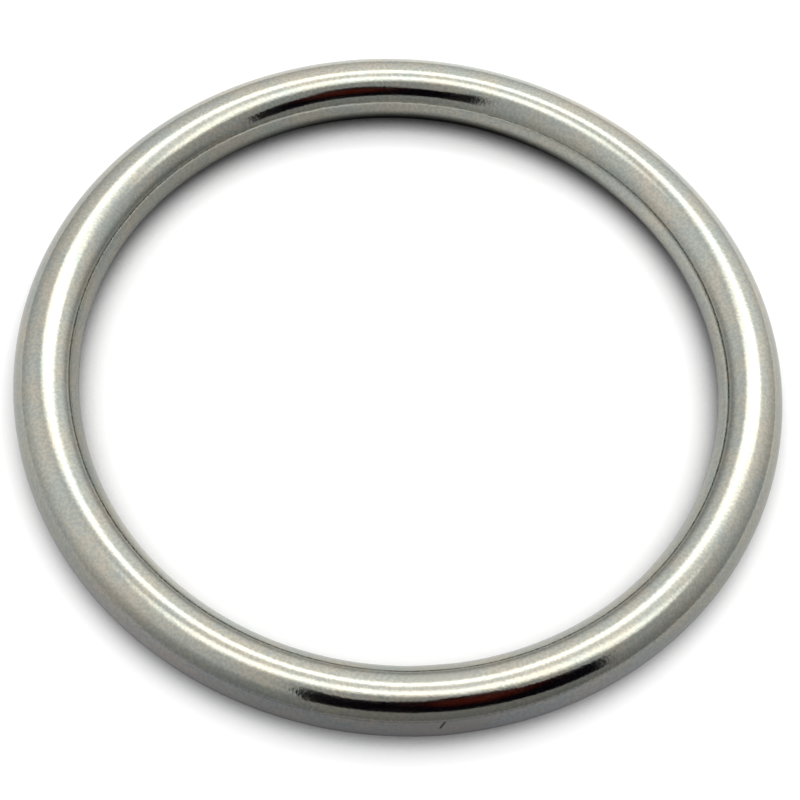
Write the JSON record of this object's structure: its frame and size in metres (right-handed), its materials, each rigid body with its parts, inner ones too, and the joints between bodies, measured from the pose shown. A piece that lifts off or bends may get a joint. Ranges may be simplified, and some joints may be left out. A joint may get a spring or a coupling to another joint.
{
  "type": "welded o-ring",
  "caption": "Polished stainless steel ring, bent from round bar and butt welded closed, for joining straps, ropes and snap hooks.",
  "frame": {"origin": "centre of the eye, half way up the bar", "axes": "+Z along the ring's axis, up when the ring lies flat; -Y towards the side seen nearest, where the weld lies"},
  "size_m": [0.072, 0.072, 0.006],
  "materials": {
    "polished_steel": "polished stainless steel with a very fine grain"
  },
  "bodies": {
    "root": {"ring": "polished_steel"}
  },
  "joints": []
}
